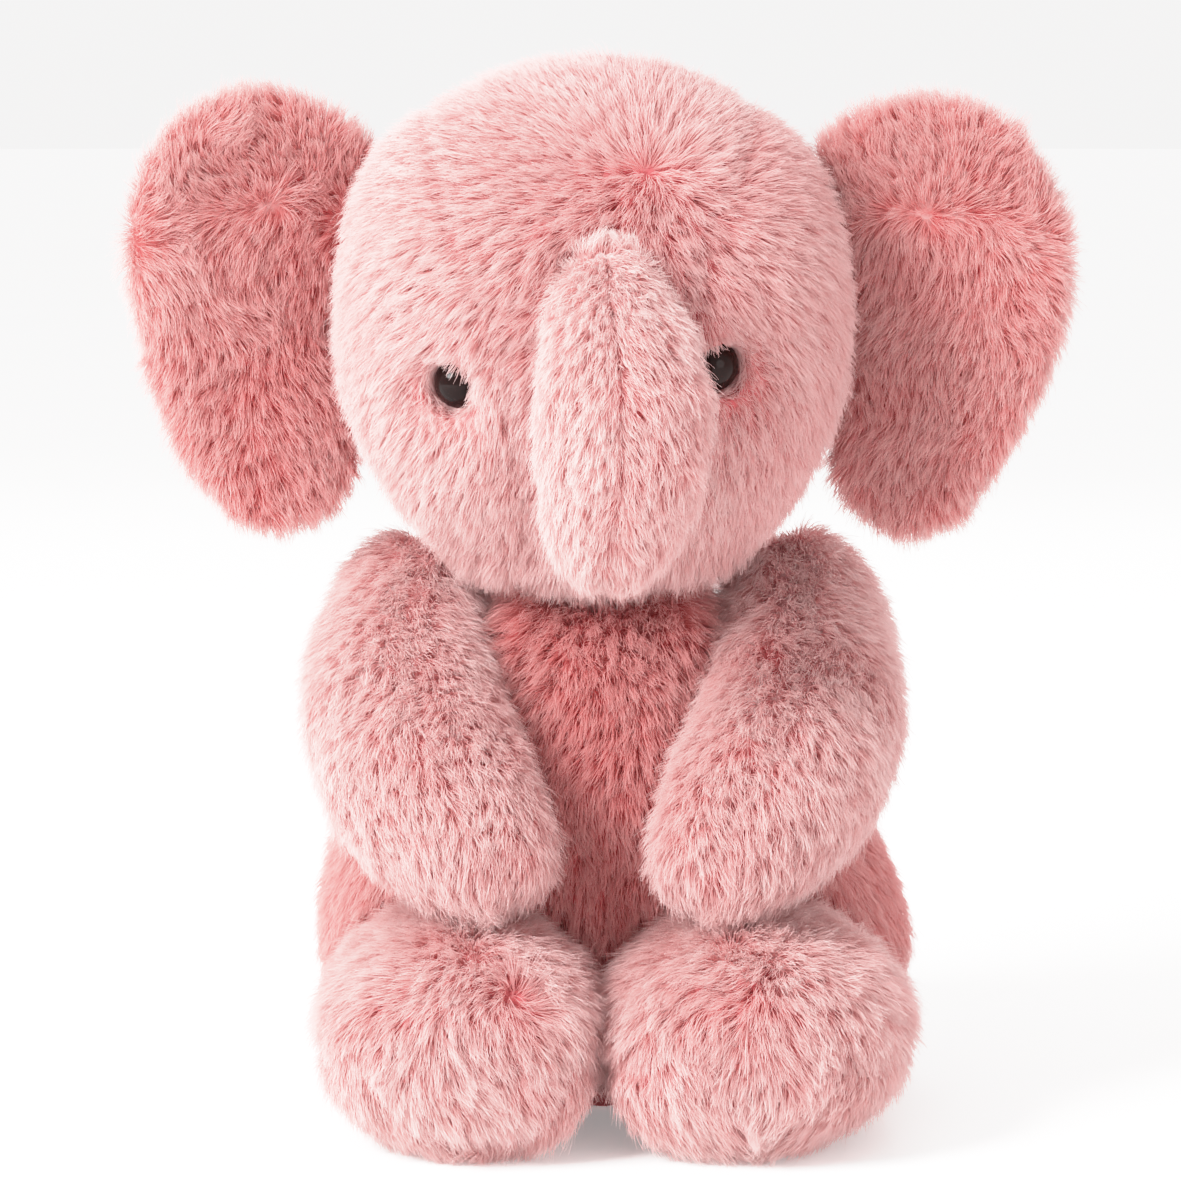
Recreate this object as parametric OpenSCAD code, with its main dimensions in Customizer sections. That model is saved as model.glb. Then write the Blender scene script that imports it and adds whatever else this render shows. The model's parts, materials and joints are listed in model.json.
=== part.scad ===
// Seated plush elephant, sewn from pile fabric panels over stuffing.
// The elephant faces -Y and sits on Z = 0. Left and right are the elephant's own: its left is +X.
// Every panel's outer face is the mean height of the fur, so a panel is backing plus pile.

/* [Fabric] */
// Thickness of a panel, backing and pile together
pile = 6; // [5:0.5:6.5]
// Thickness of a panel on the ears, the trunk and the tail
thin_pile = 4.5; // [4:0.5:5]
// Room left between a panel and its stuffing
fill_room = 0.6; // [0.5:0.1:1]
// Room left between the two edges of a seam
seam_gap = 0.3; // [0.2:0.1:0.5]

/* [Head] */
// Half the width of the head, from cheek to cheek
head_half_w = 59; // [58:0.5:60]
// Half the depth of the head
head_half_d = 57; // [56:0.5:58]
// Half the height of the head
head_half_h = 61.5; // [61:0.5:62]
// Turn of the whole head towards the elephant's right, in degrees
head_yaw = 1; // [0:1:5]

/* [Ears] */
// Half the thickness of an ear at its middle
ear_half_t = 9; // [8:0.5:10]
// How far an ear's tip stands forward of its middle
ear_cup = 9; // [4:0.5:11]
// Turn of an ear's outer rim towards the front, in degrees
ear_yaw = 14; // [10:1:18]

/* [Eyes] */
// Diameter of an eye's dome
eye_d = 12; // [11:0.5:12.5]
// Height of an eye's dome above its collar
eye_dome = 4.6; // [4:0.2:5]
// Diameter of an eye's shank
shank_d = 4.5; // [4:0.1:5]
// Diameter of the washer that locks an eye's shank
washer_d = 14; // [12:0.5:15]

/* [Torso] */
// Half the width of the torso at the rump
torso_half_w = 71; // [70:0.5:72]
// Half the depth of the torso at the rump
torso_half_d = 57; // [56:0.5:58]
// Height of the top of the torso
torso_top = 130; // [129:0.5:131]
// Thickness of the flat base that the elephant sits on
base_t = 5; // [4:0.5:6]

/* [Limbs] */
// Radius of an arm at its thickest
arm_r = 22; // [21:0.5:22.5]
// Half the width of a leg
leg_half_w = 32; // [31:0.5:32.5]
// Half the height of a leg
leg_half_h = 25.5; // [25:0.5:26]
// How far the feet reach in front of the seat's middle
leg_reach = 99; // [96:1:101]

/* [Trunk] */
// Half the width of the trunk where it is widest
trunk_half_w = 18; // [17:0.5:18.5]
// Half the depth of the trunk where it is thickest
trunk_half_d = 14; // [13:0.5:14]

/* [Hidden] */

PINK = [0.87, 0.63, 0.64];
ROSE = [0.80, 0.50, 0.53];
WADDING = [0.93, 0.92, 0.89];

LEFT = 1;
RIGHT = -1;

// ---- Curves -------------------------------------------------------------------------------

function unit(v) = v / norm(v);
function mix(a, b, t) = a + (b - a) * t;
function knot(list, i) = list[max(0, min(len(list) - 1, i))];
function steps(a, b, n) = [for (i = [0 : n]) mix(a, b, i / n)];
function around(n) = [for (i = [0 : n - 1]) 360 * i / n];
function backwards(list) = [for (k = [len(list) - 1 : -1 : 0]) list[k]];

// One span of a Catmull-Rom curve from b to c, for points or plain numbers.
function span(a, b, c, d, t) =
    b + 0.5 * t * (c - a + t * (2 * a - 5 * b + 4 * c - d + t * (3 * (b - c) + d - a)));

// An open curve through evenly spaced knots, with t from 0 to 1.
function curve(list, t) =
    let (x = max(0, min(0.99999, t)) * (len(list) - 1), i = floor(x))
    span(knot(list, i - 1), list[i], knot(list, i + 1), knot(list, i + 2), x - i);

// A closed curve through values that are evenly spaced round a circle.
function round_curve(list, angle) =
    let (n = len(list), x = (angle % 360 + 360) % 360 / 360 * n, i = floor(x))
    span(list[(i + n - 1) % n], list[i % n], list[(i + 1) % n], list[(i + 2) % n], x - i);

function length_of(line) =
    let (p = [for (t = steps(0, 1, 12)) curve(line, t)])
    [for (k = [0 : 11]) norm(p[k + 1] - p[k])] * [for (k = [0 : 11]) 1];

// ---- Stuffed forms ------------------------------------------------------------------------
// A form is a function of latitude w, from -POLE at its first end to POLE at its last, the
// angle a round it, and the depth i below its outer face. A squareness of 2 is an ellipsoid.

POLE = 88.5;

function along(w, squareness) = sign(w) * pow(abs(sin(w)), 2 / squareness);
function swell(w, squareness) = pow(cos(w), 2 / squareness);
function latitude(share, squareness) = sign(share) * asin(pow(abs(share), squareness / 2));

// A stuffed tube along a line. halves holds [half width, half depth] at even steps, and side is
// the way that angle 0 faces.
function stuffed(line, halves, side, squareness, half_length, w, a, i) =
    let (
        t = (1 + along(w, squareness) * (1 - i / half_length)) / 2,
        forward = unit(curve(line, t + 0.01) - curve(line, t - 0.01)),
        across = unit(side - forward * (side * forward)),
        half = curve(halves, t) - [i, i],
        round = swell(w, squareness)
    )
    curve(line, t) + across * half[0] * round * cos(a)
        + cross(forward, across) * half[1] * round * sin(a);

// ---- Hollows pressed into a form by its neighbours ----------------------------------------
// A ball is [centre, radii]. A point inside one is moved along push until it is out.

function leave_ball(p, ball, push, i) =
    let (
        radii = ball[1] + [i, i, i],
        q = [for (k = [0 : 2]) (p - ball[0])[k] / radii[k]],
        d = [for (k = [0 : 2]) push[k] / radii[k]],
        inside = q * q - 1
    )
    inside >= 0 ? p : p + push * ((sqrt(pow(q * d, 2) - d * d * inside) - q * d) / (d * d));

function leave_balls(p, balls, push, i, k = 0) =
    k == len(balls) ? p : leave_balls(leave_ball(p, balls[k], push, i), balls, push, i, k + 1);

// The balls of the limb that is on the same side as p.
function own_side(balls, p) =
    p[0] > 0 ? balls : [for (b = balls) [[-b[0][0], b[0][1], b[0][2]], b[1]]];

// ---- Places and room for the joints -------------------------------------------------------

head_shift = [-2, 0, 0];
neck_at = [0, -9, 129];
neck_r = 14;
trunk_at = [4, -82, 202];
ear_at = [84, -14, 190];
arm_at = [44, -9, 116];
leg_at = [33.5, -36, 25.5];
leg_droops = [-75, -50, -25, 0];
tail_at = [0, 67, 42];
clearance = 2.4;

// ---- Arms: drawn for the left side --------------------------------------------------------

arm_line = [[45, 4, 134], [49, -20, 108.5], [46, -44, 91], [35, -62, 76.5], [20, -74, 61]];
arm_halves = [[19, 18], [arm_r, 21], [arm_r, arm_r], [arm_r - 1, 20], [18.5, 17]];
arm_square = 2.4;
arm_half_length = length_of(arm_line) / 2;
arm_form = function(w, a, i)
    stuffed(arm_line, arm_halves, [1, 0, 0], arm_square, arm_half_length, w, a, i);
arm_balls = concat([[arm_at, [25, 25, 25]]], [for (t = steps(0.15, 0.9, 7))
    let (r = curve(arm_halves, t)[0] * swell(latitude(2 * t - 1, arm_square), arm_square))
    [curve(arm_line, t), (r + clearance) * [1, 1, 1]]]);

// ---- Legs: drawn for the left side --------------------------------------------------------

leg_line = [[leg_at[0], -11, 25.5], [leg_at[0], -leg_reach, 25.5]];
leg_halves = [[leg_half_w - 2, leg_half_h - 1], [leg_half_w, leg_half_h], [leg_half_w, leg_half_h]];
leg_square = 2.5;
leg_half_length = length_of(leg_line) / 2;
leg_floor = 0.3;
leg_form = function(w, a, i)
    let (p = stuffed(leg_line, leg_halves, [1, 0, 0], leg_square, leg_half_length, w, a, i))
    [p[0], p[1], max(p[2], leg_floor + i)];
leg_radii = [leg_half_w, leg_half_h + 2.2, leg_half_h + 2.2] + clearance * [1, 1, 1];
leg_balls = [for (droop = leg_droops, reach = [0, 12, 24])
    [leg_at + reach * [0, -cos(droop), sin(droop)], leg_radii]];

// ---- Trunk --------------------------------------------------------------------------------

trunk_line = [[4, -79, 212], [5, -88, 197], [8, -94, 178], [7, -93, 158], [2, -88, 137]];
trunk_halves = [[8, 7], [14.5, 11], [trunk_half_w, trunk_half_d], [trunk_half_w, trunk_half_d],
    [trunk_half_w - 1, trunk_half_d - 2]];
trunk_square = 2.4;
trunk_half_length = length_of(trunk_line) / 2;
trunk_form = function(w, a, i)
    stuffed(trunk_line, trunk_halves, [1, 0, 0], trunk_square, trunk_half_length, w, a, i);
trunk_balls = concat([[trunk_at, [15, 13, 13]]], [for (t = steps(0.2, 0.6, 3))
    [curve(trunk_line, t), [for (k = [0, 1, 1]) curve(trunk_halves, t)[k] + clearance]]]);

// ---- Head ---------------------------------------------------------------------------------

head_at = [0, -20, 191];
head_line = [head_at - [head_half_w, 0, 0], head_at + [head_half_w, 0, 0]];
head_halves = [[head_half_h, head_half_d], [head_half_h, head_half_d]];
head_square = 2.1;
neck_ball = [neck_at, (neck_r + 3) * [1, 1, 1]];
// Angle 0 is the crown, 90 the face, 180 the chin and 270 the back of the head.
head_form = function(w, a, i)
    let (
        p = stuffed(head_line, head_halves, [0, 0, 1], head_square, head_half_w, w, a, i),
        q = leave_balls(p, trunk_balls, [0, 1, 0], i)
    )
    leave_ball(q, neck_ball, [0, 0, 1], i);
// Half the width of the gusset at every 45 degrees from the crown over the face.
gusset_halves = [30, 27, 16, 12, 14, 20, 23, 27];
function gusset_w(a) = latitude(round_curve(gusset_halves, a) / head_half_w, head_square);

// ---- Ears: drawn for the left side --------------------------------------------------------

// Reach of the rim from the ear's middle at every 22.5 degrees: outwards, up, to the head, down.
ear_reach = [28.5, 34, 43, 52, 55, 54, 48, 32, 21.5, 27, 39, 48, 49, 38, 30.5, 28];
ear_square = 2.6;
ear_head = [head_at, [head_half_w, head_half_d, head_half_h] + 4.4 * [1, 1, 1]];
ear_form = function(w, a, i)
    let (
        round = swell(w, ear_square),
        reach = round_curve(ear_reach, a) - i,
        u = round * reach * cos(a),
        v = round * reach * sin(a),
        half_t = ear_half_t * (0.81 + 0.19 * round * cos(a)),
        d = along(w, ear_square) * (half_t - i) + ear_cup * pow(round * reach / 50, 2),
        p = ear_at + [u * cos(ear_yaw) - d * sin(ear_yaw), -u * sin(ear_yaw) - d * cos(ear_yaw), v]
    )
    leave_ball(p, ear_head, [1, 0, 0], i);

// ---- Tail ---------------------------------------------------------------------------------

tail_line = [[0, 62, 47], [0, 71, 36], [0, 75, 23], [0, 76, 9]];
tail_halves = [[6, 6], [6.5, 6.5], [7, 7], [7, 7]];
tail_half_length = length_of(tail_line) / 2;
tail_form = function(w, a, i)
    stuffed(tail_line, tail_halves, [1, 0, 0], 2.4, tail_half_length, w, a, i);
tail_balls = [[tail_at, [9, 9, 9]], [tail_at + [0, 6, -10], [8.5, 8.5, 8.5]]];

// ---- Torso --------------------------------------------------------------------------------

torso_line = [[0, 4, -8], [0, 3, (torso_top - 8) / 2], [0, -8, torso_top]];
torso_halves = [
    [torso_half_w - 4, torso_half_d - 6], [torso_half_w, torso_half_d],
    [torso_half_w - 6, torso_half_d - 4], [torso_half_w - 22, torso_half_d - 12], [32, 32]];
torso_square = 2.6;
torso_half_length = length_of(torso_line) / 2;
// The panels stop at this height, on the base, and this is their latitude there.
rim_z = base_t + seam_gap;
rim_w = latitude((2 * rim_z - torso_top + 8) / (torso_top + 8), torso_square);
torso_form = function(w, a, i)
    let (
        p = stuffed(torso_line, torso_halves, [1, 0, 0], torso_square, torso_half_length, w, a, i),
        q = leave_balls(p, own_side(arm_balls, p), unit([-p[0], -3 - p[1], 0]), i),
        r = leave_balls(q, own_side(leg_balls, p),
            unit([0, 1, max(0, q[2] - leg_at[2]) / 22]), i),
        s = leave_balls(r, tail_balls, [0, -1, 0], i),
        t = leave_ball(s, neck_ball + [head_shift, [0, 0, 0]], [0, 0, -1], i)
    )
    [t[0], t[1], w < rim_w + 0.1 ? rim_z : max(t[2], rim_z + 0.5)];

// ---- Solids from forms --------------------------------------------------------------------

function quad(a, b, c, d) = [[a, b, c], [a, c, d]];

// The two triangles of every cell of a grid of rows points by one column for each angle in as.
// first is the number of the first point, and on the right half of a form that is drawn whole
// the diagonals are turned, so that the two halves are alike.
function cells(rows, as, first, closed, outward, whole) = [
    for (r = [0 : rows - 2], c = [0 : len(as) - (closed ? 1 : 2)])
        let (
            columns = len(as),
            a = first + r * columns + c,
            b = first + r * columns + (c + 1) % columns,
            d = a + columns,
            e = b + columns
        )
        each whole && as[c] > 89 && as[c] < 269 ? (outward ? quad(b, e, d, a) : quad(b, a, d, e))
            : outward ? quad(a, b, e, d)
            : quad(a, d, e, b)];

// Triangles that join two rows or columns of points, given as lists of their numbers.
function wall(outer, inner, closed) = [
    for (k = [0 : len(outer) - (closed ? 1 : 2)])
        let (n = (k + 1) % len(outer))
        each quad(outer[k], inner[k], inner[n], outer[n])];

function turned_over(faces) = [for (f = faces) backwards(f)];

// A panel of a form, with its faces at depths outer and inner. ws and as are the latitudes and
// angles of its points. If an edge curves, edge gives the latitude for a share of the width.
// A panel that goes all the way round is closed, and one with a tip covers its last pole.
module panel(form, ws, as, outer, inner, closed = false, tip = false, whole = false,
    edge = undef) {
    rows = len(ws);
    columns = len(as);
    count = rows * columns;
    points = [for (i = [outer, inner], w = ws, a = as)
        form(is_undef(edge) ? w : edge(w, a), a, i)];
    first = [for (c = [0 : columns - 1]) c];
    last = [for (c = first) count - columns + c];
    start = [for (r = [0 : rows - 1]) r * columns];
    end = [for (r = start) r + columns - 1];
    deep = function(list) [for (k = list) k + count];
    faces = concat(
        cells(rows, as, 0, closed, true, whole),
        cells(rows, as, count, closed, false, whole),
        wall(first, deep(first), closed),
        tip ? [last, backwards(deep(last))]
            : wall(backwards(last), backwards(deep(last)), closed),
        closed ? [] : wall(backwards(start), backwards(deep(start)), false),
        closed ? [] : wall(end, deep(end), false));
    polyhedron(points, turned_over(faces), convexity = 8);
}

// The whole inside of a form below depth i, with a flat end at each pole.
module stuffing(form, ws, as, i, whole = false) {
    columns = len(as);
    points = [for (w = ws, a = as) form(w, a, i)];
    first = [for (c = [0 : columns - 1]) c];
    last = [for (c = first) (len(ws) - 1) * columns + c];
    faces = concat(cells(len(ws), as, 0, true, true, whole), [backwards(first), last]);
    polyhedron(points, turned_over(faces), convexity = 8);
}

// Shows what is drawn for the left side on either side.
module on_side(side) {
    if (side == LEFT) children();
    else mirror([1, 0, 0]) children();
}

// Puts the head and all that it carries on the neck.
module on_neck() {
    translate(head_shift + neck_at) rotate([0, 0, -head_yaw]) translate(-neck_at) children();
}

// Half a seam's room as an angle, at a given radius.
function seam_angle(radius) = seam_gap / 2 / radius * 180 / PI;

// ---- Eyes ---------------------------------------------------------------------------------

// Where each eye looks from the middle of the head: to the left, to the front and up.
eye_look = [[0.52, -0.83, -0.13], [-0.56, -0.80, -0.21]];
eye_sunk = 2.2;
shank_length = 13;
washer_t = 1.6;
eye_room = 0.25;

// Puts its children on an eye's axis, with Z outwards and 0 at the seat of the eye's collar.
module at_eye(k) {
    look = unit(eye_look[k]);
    reach = 1 / norm([look[0] / head_half_w, look[1] / head_half_d, look[2] / head_half_h]);
    on_neck()
        translate(head_at + look * (reach - eye_sunk))
            rotate([0, acos(look[2]), atan2(look[1], look[0])])
                children();
}

module eye(k) {
    dome_r = (pow(eye_d / 2, 2) + pow(eye_dome, 2)) / (2 * eye_dome);
    color([0.05, 0.03, 0.03])
        at_eye(k) {
            intersection() {
                translate([0, 0, eye_dome - dome_r]) sphere(r = dome_r, $fn = 64);
                cylinder(d = eye_d, h = eye_dome + 1, $fn = 64);
            }
            translate([0, 0, -0.8]) cylinder(d = eye_d - 1, h = 0.8, $fn = 64);
            translate([0, 0, -shank_length]) cylinder(d = shank_d, h = shank_length - 0.8, $fn = 40);
        }
}

module eye_washer(k) {
    color("white")
        at_eye(k)
            translate([0, 0, -pile - 1.2])
                difference() {
                    cylinder(d = washer_d, h = washer_t, $fn = 48);
                    translate([0, 0, -1]) cylinder(d = shank_d + 0.2, h = washer_t + 2, $fn = 40);
                }
}

// The hole for an eye's shank, with a sink for its dome or room for its washer.
module eye_hole(k, d, from, to) {
    at_eye(k) {
        translate([0, 0, from]) cylinder(d = d, h = to - from, $fn = 48);
        translate([0, 0, -shank_length - 1])
            cylinder(d = shank_d + 2 * eye_room, h = shank_length + 1, $fn = 40);
    }
}

// ---- Head parts ---------------------------------------------------------------------------

head_columns = 28;

module head_side(side) {
    seam = seam_angle(head_half_w);
    color(PINK)
        difference() {
            on_neck()
                on_side(side)
                    panel(head_form, steps(0, 1, 7), around(head_columns), 0, pile,
                        closed = true, tip = true,
                        edge = function(s, a) mix(gusset_w(a) + seam, POLE, s));
            eye_hole(side == LEFT ? 0 : 1, eye_d + 2 * eye_room, -1.1, 12);
        }
}

module head_band(from, to, count) {
    seam = seam_angle(head_half_w);
    color(PINK)
        on_neck()
            panel(head_form, steps(-1, 1, 6), steps(from, to, count), 0, pile,
                edge = function(s, a) s * (gusset_w(a) - seam));
}

module head_gusset() { head_band(-130, 89.8, 18); }
module head_chin() { head_band(90.2, 229.8, 13); }

module head_stuffing() {
    color(WADDING)
        difference() {
            on_neck()
                stuffing(head_form, steps(-POLE, POLE, 14), around(head_columns),
                    pile + fill_room + 1.4);
            for (k = [0, 1]) eye_hole(k, washer_d + 1, -pile - 1.6, -1);
        }
}

module neck_stuffing() {
    color(WADDING) translate(neck_at + head_shift) sphere(r = neck_r, $fn = 48);
}

// ---- Trunk parts --------------------------------------------------------------------------

module trunk_panel(from) {
    seam = seam_angle(trunk_half_w);
    color(PINK)
        on_neck()
            panel(trunk_form, steps(-POLE, POLE, 12), steps(from + seam, from + 180 - seam, 7),
                0, thin_pile);
}

module trunk_stuffing() {
    color(WADDING)
        on_neck()
            stuffing(trunk_form, steps(-POLE, POLE, 12), around(14), thin_pile + fill_room);
}

// ---- Ear parts ----------------------------------------------------------------------------

ear_columns = 26;

module ear_face(side, tint, from, to, as) {
    color(tint)
        on_neck()
            on_side(side)
                panel(ear_form, steps(from, to, 5), as, 0, thin_pile, closed = true, tip = true);
}

module ear_front(side) { ear_face(side, ROSE, 0.4, POLE, around(ear_columns)); }
module ear_back(side) { ear_face(side, PINK, -0.4, -POLE, backwards(around(ear_columns))); }

module ear_wadding(side) {
    color(WADDING)
        on_neck()
            on_side(side)
                stuffing(ear_form, steps(-POLE, POLE, 6), around(ear_columns),
                    thin_pile + fill_room);
}

// ---- Torso parts --------------------------------------------------------------------------

torso_ws = steps(rim_w, POLE, 20);
torso_columns = 32;

module torso_panel(from, to, count) {
    seam = seam_angle(torso_half_w / 2);
    color(ROSE)
        panel(torso_form, torso_ws, steps(from + seam, to - seam, count), 0, pile, whole = true);
}

module torso_front() { torso_panel(180, 360, 26); }
module torso_back_left() { torso_panel(0, 90, 7); }
module torso_back_right() { torso_panel(90, 180, 7); }

module torso_base() {
    outline = [for (a = around(48)) let (p = torso_form(rim_w, a, 0)) [p[0], p[1]]];
    color(ROSE) linear_extrude(base_t) polygon(outline);
}

pouch_top = 34;
pouch_skin = 0.8;
pouch_line = [[0, 26, rim_z + fill_room], [0, 26, pouch_top]];
pouch_halves = [[40, 18], [42, 20]];
pouch_form = function(w, a, i)
    stuffed(pouch_line, pouch_halves, [1, 0, 0], 3.4, length_of(pouch_line) / 2, w, a, i);

module pellet_pouch() {
    ws = steps(POLE, -POLE, 8);
    color("white")
        panel(pouch_form, ws, backwards(around(20)), 0, pouch_skin, closed = true, tip = true);
}

module pellet_fill() {
    color([0.9, 0.9, 0.92])
        stuffing(pouch_form, steps(-POLE, POLE, 8), around(20), pouch_skin + fill_room);
}

module torso_stuffing() {
    // The inside of the torso above the pellet pouch.
    above_pouch = function(w, a, i)
        let (p = torso_form(w, a, i)) [p[0], p[1], max(p[2], pouch_top + fill_room)];
    color(WADDING)
        stuffing(above_pouch, steps(latitude(-0.4, torso_square), POLE, 14),
            around(torso_columns), pile + fill_room + 1.4, whole = true);
}

label_size = [13, 0.8, 15];

module care_label() {
    at = torso_form(latitude(-0.66, torso_square), 60, 0);
    color("white") translate([at[0], at[1] + 5, at[2]]) rotate([0, 0, -24]) cube(label_size, center = true);
}

// ---- Arm parts ----------------------------------------------------------------------------

module arm_panel(side, from) {
    seam = seam_angle(arm_r);
    color(PINK)
        on_side(side)
            panel(arm_form, steps(-POLE, POLE, 13), steps(from + seam, from + 180 - seam, 8),
                0, pile);
}

module arm_outer(side) { arm_panel(side, -90); }
module arm_inner(side) { arm_panel(side, 90); }

module arm_stuffing(side) {
    color(WADDING)
        on_side(side)
            stuffing(arm_form, steps(-POLE, POLE, 13), around(16), pile + fill_room);
}

// ---- Leg parts ----------------------------------------------------------------------------

sole_w = 52;

module leg_panel(side, from) {
    seam = seam_angle(leg_half_w);
    color(PINK)
        on_side(side)
            panel(leg_form, steps(-POLE, sole_w - seam, 9),
                steps(from + seam, from + 180 - seam, 9), 0, pile);
}

module leg_top(side) { leg_panel(side, 0); }
module leg_under(side) { leg_panel(side, 180); }

module leg_sole(side) {
    color(PINK)
        on_side(side)
            panel(leg_form, steps(sole_w + seam_angle(leg_half_w), POLE, 4), around(18), 0, pile,
                closed = true, tip = true);
}

module leg_stuffing(side) {
    color(WADDING)
        on_side(side)
            stuffing(leg_form, steps(-POLE, POLE, 12), around(18), pile + fill_room);
}

// ---- Tail parts ---------------------------------------------------------------------------

module tail_panel() {
    color(PINK)
        panel(tail_form, steps(POLE, -POLE, 9), backwards(around(12)), 0, thin_pile - 1,
            closed = true, tip = true);
}

module tail_stuffing() {
    color(WADDING)
        stuffing(tail_form, steps(-POLE, POLE, 9), around(12), thin_pile - 1 + fill_room);
}

// ---- The parts, one by one ----------------------------------------------------------------

head_side(LEFT);  // head_side_left
head_side(RIGHT);  // head_side_right
head_gusset();
head_chin();
head_stuffing();
eye(0);  // eye_left
eye(1);  // eye_right
eye_washer(0);  // eye_washer_left
eye_washer(1);  // eye_washer_right
neck_stuffing();
trunk_panel(-90);  // trunk_panel_left
trunk_panel(90);  // trunk_panel_right
trunk_stuffing();
ear_front(LEFT);  // ear_front_left
ear_back(LEFT);  // ear_back_left
ear_wadding(LEFT);  // ear_wadding_left
ear_front(RIGHT);  // ear_front_right
ear_back(RIGHT);  // ear_back_right
ear_wadding(RIGHT);  // ear_wadding_right
torso_front();
torso_back_left();
torso_back_right();
torso_base();
torso_stuffing();
pellet_pouch();
pellet_fill();
care_label();
arm_outer(LEFT);  // arm_outer_left
arm_inner(LEFT);  // arm_inner_left
arm_stuffing(LEFT);  // arm_stuffing_left
arm_outer(RIGHT);  // arm_outer_right
arm_inner(RIGHT);  // arm_inner_right
arm_stuffing(RIGHT);  // arm_stuffing_right
leg_top(LEFT);  // leg_top_left
leg_under(LEFT);  // leg_under_left
leg_sole(LEFT);  // leg_sole_left
leg_stuffing(LEFT);  // leg_stuffing_left
leg_top(RIGHT);  // leg_top_right
leg_under(RIGHT);  // leg_under_right
leg_sole(RIGHT);  // leg_sole_right
leg_stuffing(RIGHT);  // leg_stuffing_right
tail_panel();
tail_stuffing();
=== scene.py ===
import json
import math

import bpy
import numpy as np
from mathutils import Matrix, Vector, kdtree
from mathutils.bvhtree import BVHTree


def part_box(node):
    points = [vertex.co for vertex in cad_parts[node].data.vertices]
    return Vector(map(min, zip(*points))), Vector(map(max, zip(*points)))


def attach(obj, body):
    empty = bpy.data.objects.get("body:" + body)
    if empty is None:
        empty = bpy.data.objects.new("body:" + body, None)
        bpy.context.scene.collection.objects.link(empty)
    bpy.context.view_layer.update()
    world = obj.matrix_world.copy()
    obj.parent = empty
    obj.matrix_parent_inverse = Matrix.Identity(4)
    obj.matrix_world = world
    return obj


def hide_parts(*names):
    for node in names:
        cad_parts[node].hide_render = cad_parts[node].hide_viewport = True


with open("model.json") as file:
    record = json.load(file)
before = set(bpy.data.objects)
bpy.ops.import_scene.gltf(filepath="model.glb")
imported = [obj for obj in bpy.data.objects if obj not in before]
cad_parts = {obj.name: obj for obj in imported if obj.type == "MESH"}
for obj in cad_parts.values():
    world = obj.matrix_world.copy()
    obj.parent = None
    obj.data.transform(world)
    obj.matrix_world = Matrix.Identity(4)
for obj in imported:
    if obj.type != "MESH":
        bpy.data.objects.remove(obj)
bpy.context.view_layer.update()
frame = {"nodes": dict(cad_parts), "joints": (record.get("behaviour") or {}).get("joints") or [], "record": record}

MM = 0.001
NODES = frame["nodes"]
ANCHORS = {j["child"]: np.array(j["pos_m"]) for j in frame["joints"]}

# Skins, in millimetres: the voxel that they are remeshed with, how their cloth swells and how thick it is.
SKIN_VOXEL = 1.8
SKIN_SMOOTHING = 3
SWELL_SHARE = 0.6
THICK_CLOTH, THIN_CLOTH = 4.0, 0.9
THICK_BODIES = ("torso", "head", "arm_left", "arm_right", "leg_left", "leg_right")
INNER_SMOOTHING = 12
LOWEST_OUTER, LOWEST_INNER = 0.3, 0.6
FAR = 0.03  # metres: how far off a seam is looked for

# The pile: strands, the tufts that they gather into, and their radii in millimetres.
STRANDS_PER_MM2 = 4.0
TUFT_AREA = 3.2
STRAND_POINTS = 5
ROOT_RADIUS = 0.07
TIP_RADIUS = 0.022
FIRST_SEED = 100

# The tufts that stand in the skins as relief, in millimetres.
RELIEF_AREA = 8.5
RELIEF_LENGTH = 7
RELIEF_WIDTH = 2.1
RELIEF_HEIGHT = 1.9
RELIEF_NEIGHBOURS = 7


def both(make):
    """The forms that come in pairs, from a function of the side."""
    return {name: form for side in ("left", "right") for name, form in make(side).items()}


# What each form is sewn from and filled with, how long its pile is in millimetres, how much the
# pile swirls, and how full the form is.
FORMS = {
    "torso": dict(
        skins=["torso_front", "torso_back_left", "torso_back_right", "torso_base"],
        filling="torso_stuffing", pile=8.5, swirl=0.45, fill=0.75,
    ),
    "head": dict(
        skins=["head_side_left", "head_side_right", "head_gusset", "head_chin"],
        filling="head_stuffing", pile=8.0, swirl=0.25, fill=0.85,
    ),
    "trunk": dict(
        skins=["trunk_panel_left", "trunk_panel_right"],
        filling="trunk_stuffing", pile=7.0, swirl=0.2, fill=0.85,
    ),
    "tail": dict(skins=["tail_panel"], filling="tail_stuffing", pile=7.0, swirl=0.2, fill=0.6),
}
FORMS.update(both(lambda side: {
    f"ear_{side}": dict(
        skins=[f"ear_front_{side}", f"ear_back_{side}"],
        filling=f"ear_wadding_{side}", pile=7.5, swirl=0.6, fill=0.35,
    ),
    f"arm_{side}": dict(
        skins=[f"arm_outer_{side}", f"arm_inner_{side}"],
        filling=f"arm_stuffing_{side}", pile=9.0, swirl=0.5, fill=0.7,
    ),
    f"leg_{side}": dict(
        skins=[f"leg_top_{side}", f"leg_under_{side}", f"leg_sole_{side}"],
        filling=f"leg_stuffing_{side}", pile=9.0, swirl=1.0, fill=0.8,
    ),
}))


# ---------------------------------------------------------------- numbers

LATTICE_SIZE = 32
LATTICE = np.random.default_rng(11).uniform(-1, 1, (LATTICE_SIZE,) * 3 + (3,))


def unit(v):
    """The same directions, with length 1."""
    return v / np.maximum(np.linalg.norm(v, axis=1, keepdims=True), 1e-9)


def step(low, high, x):
    """Goes smoothly from 0 at low to 1 at high."""
    t = np.clip((x - low) / (high - low), 0, 1)
    return t * t * (3 - 2 * t)


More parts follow.
